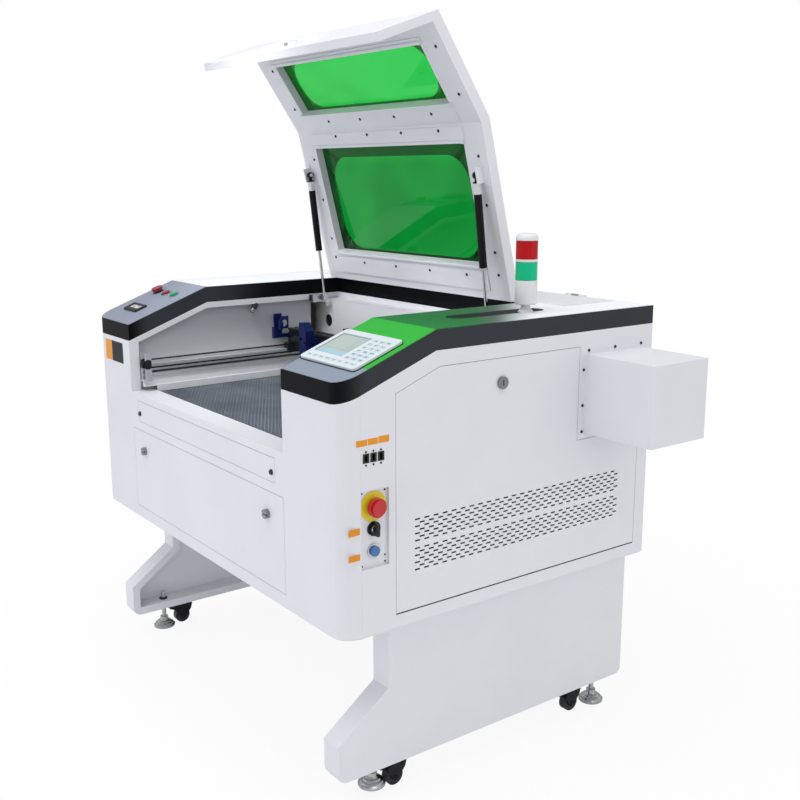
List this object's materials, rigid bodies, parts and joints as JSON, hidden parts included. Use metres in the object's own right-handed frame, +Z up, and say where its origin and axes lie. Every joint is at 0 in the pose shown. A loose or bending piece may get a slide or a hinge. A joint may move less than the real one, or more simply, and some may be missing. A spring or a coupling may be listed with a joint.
{
  "type": "laser engraving machine",
  "caption": "Gantry laser engraver: white steel cabinet on channel legs, hinged lid with green windows, honeycomb bed, side controls, tower light and tube extension box.",
  "frame": {"origin": "floor point under the centre of the whole machine's bounding box, lid open", "axes": "+X to the machine's right as the operator faces it from the front, +Y to the rear, +Z up from the floor"},
  "size_m": [1.364, 0.907, 1.5807],
  "materials": {
    "white_powder": "fine satin powder coat, white",
    "black_band": "satin near-black powder coat",
    "deck_film": "printed satin film in grey, green and white over white sheet",
    "grey_liner": "grey powder coat",
    "leg_white": "white powder coat",
    "frame_grey": "light grey powder coat",
    "acrylic_green": "clear green laser-safe acrylic",
    "tube_glass": "clear borosilicate glass",
    "black_plastic": "matt black",
    "strut_black": "gloss black enamel",
    "bright_steel": "bright ground steel",
    "chrome_plate": "bright zinc or chrome plate",
    "aluminium_rail": "clear anodised extrusion",
    "black_anodised": "black anodised",
    "blue_anodised": "dark blue anodised",
    "brass_nozzle": "turned brass",
    "belt_rubber": "matt toothed rubber",
    "panel_film": "pale membrane keypad",
    "panel_metal": "white tray with chrome, yellow and black bezels",
    "light_plastic": "white base with green and red lenses",
    "module_plastic": "vented module housings",
    "red_plastic": "red moulded plastic",
    "green_plastic": "green moulded plastic",
    "blue_plastic": "blue moulded plastic",
    "dark_metal": "dark satin",
    "honeycomb_alu": "bare aluminium foil cells",
    "wheel_nylon": "black nylon tread with a pale hub"
  },
  "bodies": {
    "cabinet": {"cabinet_shell": "white_powder", "top_frame": "black_band", "top_cover": "deck_film", "chamber_liner": "grey_liner", "rear_panel": "white_powder", "leg_frames": "leg_white", "tube_end_box": "white_powder", "laser_tube": "tube_glass", "tube_mounts": "black_plastic", "y_axis_rails": "aluminium_rail", "y_belts": "belt_rubber", "control_panel": "panel_film", "switch_panel": "panel_metal", "sockets": "black_plastic", "tower_light": "light_plastic", "electronics_modules": "module_plastic", "lid_fittings": "bright_steel"},
    "lid": {"lid_shell": "white_powder", "lid_frame": "frame_grey", "lid_windows": "acrylic_green"},
    "strut_cylinder_left": {"strut_cylinder_left": "strut_black"},
    "strut_rod_left": {"strut_rod_left": "chrome_plate"},
    "strut_cylinder_right": {"strut_cylinder_right": "strut_black"},
    "strut_rod_right": {"strut_rod_right": "chrome_plate"},
    "front_flap": {"front_flap": "white_powder"},
    "front_door": {"front_door": "white_powder"},
    "front_lock_left": {"front_lock_left": "dark_metal"},
    "front_lock_right": {"front_lock_right": "dark_metal"},
    "side_door": {"side_door": "white_powder"},
    "side_lock": {"side_lock": "dark_metal"},
    "tube_hatch": {"tube_hatch": "white_powder"},
    "gantry": {"gantry_beam": "black_anodised", "gantry_mirror": "blue_anodised"},
    "drive_shaft": {"drive_shaft": "bright_steel"},
    "laser_head": {"laser_head": "blue_anodised"},
    "nozzle": {"nozzle": "brass_nozzle"},
    "bed": {"bed_frame": "black_anodised", "honeycomb": "honeycomb_alu"},
    "lift_screw_front_left": {"lift_screw_front_left": "bright_steel"},
    "lift_screw_front_right": {"lift_screw_front_right": "bright_steel"},
    "lift_screw_rear_left": {"lift_screw_rear_left": "bright_steel"},
    "lift_screw_rear_right": {"lift_screw_rear_right": "bright_steel"},
    "emergency_stop": {"emergency_stop": "red_plastic"},
    "key_switch": {"key_switch": "dark_metal"},
    "power_button": {"power_button": "blue_plastic"},
    "deck_stop": {"deck_stop": "red_plastic"},
    "deck_red_button": {"deck_red_button": "red_plastic"},
    "deck_green_button": {"deck_green_button": "green_plastic"},
    "foot_front_left": {"foot_front_left": "chrome_plate"},
    "foot_front_right": {"foot_front_right": "chrome_plate"},
    "foot_rear_left": {"foot_rear_left": "chrome_plate"},
    "foot_rear_right": {"foot_rear_right": "chrome_plate"},
    "caster_fork_front_left": {"caster_fork_front_left": "dark_metal"},
    "caster_wheel_front_left": {"caster_wheel_front_left": "wheel_nylon"},
    "caster_fork_front_right": {"caster_fork_front_right": "dark_metal"},
    "caster_wheel_front_right": {"caster_wheel_front_right": "wheel_nylon"},
    "caster_fork_rear_left": {"caster_fork_rear_left": "dark_metal"},
    "caster_wheel_rear_left": {"caster_wheel_rear_left": "wheel_nylon"},
    "caster_fork_rear_right": {"caster_fork_rear_right": "dark_metal"},
    "caster_wheel_rear_right": {"caster_wheel_rear_right": "wheel_nylon"}
  },
  "joints": [
    {"name": "lid_hinge", "type": "hinge", "parent": "cabinet", "child": "lid", "pos_m": [-0.094, 0.1895, 0.972], "axis": [1, 0, 0], "range_deg": [0, 76]},
    {"name": "strut_pivot_left", "type": "hinge", "parent": "lid", "child": "strut_cylinder_left", "pos_m": [-0.437, 0.07835, 1.25244], "axis": [1, 0, 0], "range_deg": [0, 3.69]},
    {"name": "strut_rod_slide_left", "type": "slide", "parent": "strut_cylinder_left", "child": "strut_rod_left", "axis": [0, 0.1192, -0.9929], "range_m": [-0.10861, 0]},
    {"name": "strut_pivot_right", "type": "hinge", "parent": "lid", "child": "strut_cylinder_right", "pos_m": [0.249, 0.07835, 1.25244], "axis": [1, 0, 0], "range_deg": [0, 3.69]},
    {"name": "strut_rod_slide_right", "type": "slide", "parent": "strut_cylinder_right", "child": "strut_rod_right", "axis": [0, 0.1192, -0.9929], "range_m": [-0.10861, 0]},
    {"name": "front_flap_hinge", "type": "hinge", "parent": "cabinet", "child": "front_flap", "pos_m": [-0.094, -0.4445, 0.647], "axis": [1, 0, 0], "range_deg": [0, 90]},
    {"name": "front_door_hinge", "type": "hinge", "parent": "cabinet", "child": "front_door", "pos_m": [-0.094, -0.4445, 0.418], "axis": [1, 0, 0], "range_deg": [0, 90]},
    {"name": "front_lock_turn_left", "type": "hinge", "parent": "front_door", "child": "front_lock_left", "pos_m": [-0.403, -0.4445, 0.574], "axis": [0, -1, 0], "range_deg": [0, 90]},
    {"name": "front_lock_turn_right", "type": "hinge", "parent": "front_door", "child": "front_lock_right", "pos_m": [0.215, -0.4445, 0.574], "axis": [0, 1, 0], "range_deg": [0, 90]},
    {"name": "side_door_hinge", "type": "hinge", "parent": "cabinet", "child": "side_door", "pos_m": [0.494, 0.0195, 0.419], "axis": [0, 1, 0], "range_deg": [0, 90]},
    {"name": "side_lock_turn", "type": "hinge", "parent": "side_door", "child": "side_lock", "pos_m": [0.494, -0.0565, 0.846], "axis": [1, 0, 0], "range_deg": [0, 90]},
    {"name": "tube_hatch_hinge", "type": "hinge", "parent": "cabinet", "child": "tube_hatch", "pos_m": [-0.094, 0.3775, 0.972], "axis": [-1, 0, 0], "range_deg": [0, 100]},
    {"name": "gantry_travel", "type": "slide", "parent": "cabinet", "child": "gantry", "axis": [0, 1, 0], "range_m": [-0.37, 0.031]},
    {"name": "drive_shaft_spin", "type": "hinge", "parent": "cabinet", "child": "drive_shaft", "pos_m": [-0.094, 0.1155, 0.786], "axis": [1, 0, 0], "continuous": true},
    {"name": "head_travel", "type": "slide", "parent": "gantry", "child": "laser_head", "axis": [1, 0, 0], "range_m": [-0.08, 0.55]},
    {"name": "nozzle_focus", "type": "slide", "parent": "laser_head", "child": "nozzle", "axis": [0, 0, 1], "range_m": [-0.015, 0.015]},
    {"name": "bed_lift", "type": "slide", "parent": "cabinet", "child": "bed", "axis": [0, 0, 1], "range_m": [-0.2, 0]},
    {"name": "lift_screw_spin_front_left", "type": "hinge", "parent": "cabinet", "child": "lift_screw_front_left", "pos_m": [-0.465, -0.3345, 0.41], "axis": [0, 0, 1], "continuous": true},
    {"name": "lift_screw_spin_front_right", "type": "hinge", "parent": "cabinet", "child": "lift_screw_front_right", "pos_m": [0.277, -0.3345, 0.41], "axis": [0, 0, 1], "continuous": true},
    {"name": "lift_screw_spin_rear_left", "type": "hinge", "parent": "cabinet", "child": "lift_screw_rear_left", "pos_m": [-0.465, 0.0755, 0.41], "axis": [0, 0, 1], "continuous": true},
    {"name": "lift_screw_spin_rear_right", "type": "hinge", "parent": "cabinet", "child": "lift_screw_rear_right", "pos_m": [0.277, 0.0755, 0.41], "axis": [0, 0, 1], "continuous": true},
    {"name": "emergency_stop_press", "type": "slide", "parent": "cabinet", "child": "emergency_stop", "axis": [-1, 0, 0], "range_m": [0, 0.004]},
    {"name": "key_turn", "type": "hinge", "parent": "cabinet", "child": "key_switch", "pos_m": [0.494, -0.3705, 0.602], "axis": [1, 0, 0], "range_deg": [0, 90]},
    {"name": "power_button_press", "type": "slide", "parent": "cabinet", "child": "power_button", "axis": [-1, 0, 0], "range_m": [0, 0.003], "stiffness_N_per_m": 600},
    {"name": "deck_stop_press", "type": "slide", "parent": "cabinet", "child": "deck_stop", "axis": [0, 0.3507, -0.9365], "range_m": [0, 0.004]},
    {"name": "deck_red_press", "type": "slide", "parent": "cabinet", "child": "deck_red_button", "axis": [0, 0.3507, -0.9365], "range_m": [0, 0.003], "stiffness_N_per_m": 600},
    {"name": "deck_green_press", "type": "slide", "parent": "cabinet", "child": "deck_green_button", "axis": [0, 0.3507, -0.9365], "range_m": [0, 0.003], "stiffness_N_per_m": 600},
    {"name": "foot_screw_front_left", "type": "slide", "parent": "cabinet", "child": "foot_front_left", "axis": [0, 0, -1], "range_m": [0, 0.02]},
    {"name": "foot_screw_front_right", "type": "slide", "parent": "cabinet", "child": "foot_front_right", "axis": [0, 0, -1], "range_m": [0, 0.037]},
    {"name": "foot_screw_rear_left", "type": "slide", "parent": "cabinet", "child": "foot_rear_left", "axis": [0, 0, -1], "range_m": [0, 0.02]},
    {"name": "foot_screw_rear_right", "type": "slide", "parent": "cabinet", "child": "foot_rear_right", "axis": [0, 0, -1], "range_m": [0, 0.02]},
    {"name": "caster_swivel_front_left", "type": "hinge", "parent": "cabinet", "child": "caster_fork_front_left", "pos_m": [-0.607, -0.2665, 0.05], "axis": [0, 0, 1], "continuous": true},
    {"name": "caster_roll_front_left", "type": "hinge", "parent": "caster_fork_front_left", "child": "caster_wheel_front_left", "pos_m": [-0.607, -0.2785, 0.021], "axis": [1, 0, 0], "continuous": true},
    {"name": "caster_swivel_front_right", "type": "hinge", "parent": "cabinet", "child": "caster_fork_front_right", "pos_m": [0.419, -0.2665, 0.05], "axis": [0, 0, 1], "continuous": true},
    {"name": "caster_roll_front_right", "type": "hinge", "parent": "caster_fork_front_right", "child": "caster_wheel_front_right", "pos_m": [0.419, -0.2785, 0.021], "axis": [1, 0, 0], "continuous": true},
    {"name": "caster_swivel_rear_left", "type": "hinge", "parent": "cabinet", "child": "caster_fork_rear_left", "pos_m": [-0.607, 0.2555, 0.05], "axis": [0, 0, 1], "continuous": true},
    {"name": "caster_roll_rear_left", "type": "hinge", "parent": "caster_fork_rear_left", "child": "caster_wheel_rear_left", "pos_m": [-0.607, 0.2435, 0.021], "axis": [1, 0, 0], "continuous": true},
    {"name": "caster_swivel_rear_right", "type": "hinge", "parent": "cabinet", "child": "caster_fork_rear_right", "pos_m": [0.419, 0.2555, 0.05], "axis": [0, 0, 1], "continuous": true},
    {"name": "caster_roll_rear_right", "type": "hinge", "parent": "caster_fork_rear_right", "child": "caster_wheel_rear_right", "pos_m": [0.419, 0.2435, 0.021], "axis": [1, 0, 0], "continuous": true}
  ],
  "couplings": [
    {"joint": "strut_pivot_left", "follows": "lid_hinge", "ratio": 0.047911},
    {"joint": "strut_rod_slide_left", "follows": "lid_hinge", "m_per_rad": -0.081732},
    {"joint": "strut_pivot_right", "follows": "lid_hinge", "ratio": 0.047911},
    {"joint": "strut_rod_slide_right", "follows": "lid_hinge", "m_per_rad": -0.081732},
    {"joint": "drive_shaft_spin", "follows": "gantry_travel", "rad_per_m": -99},
    {"joint": "lift_screw_spin_front_left", "follows": "bed_lift", "rad_per_m": 785.4},
    {"joint": "lift_screw_spin_front_right", "follows": "bed_lift", "rad_per_m": 785.4},
    {"joint": "lift_screw_spin_rear_left", "follows": "bed_lift", "rad_per_m": 785.4},
    {"joint": "lift_screw_spin_rear_right", "follows": "bed_lift", "rad_per_m": 785.4}
  ]
}
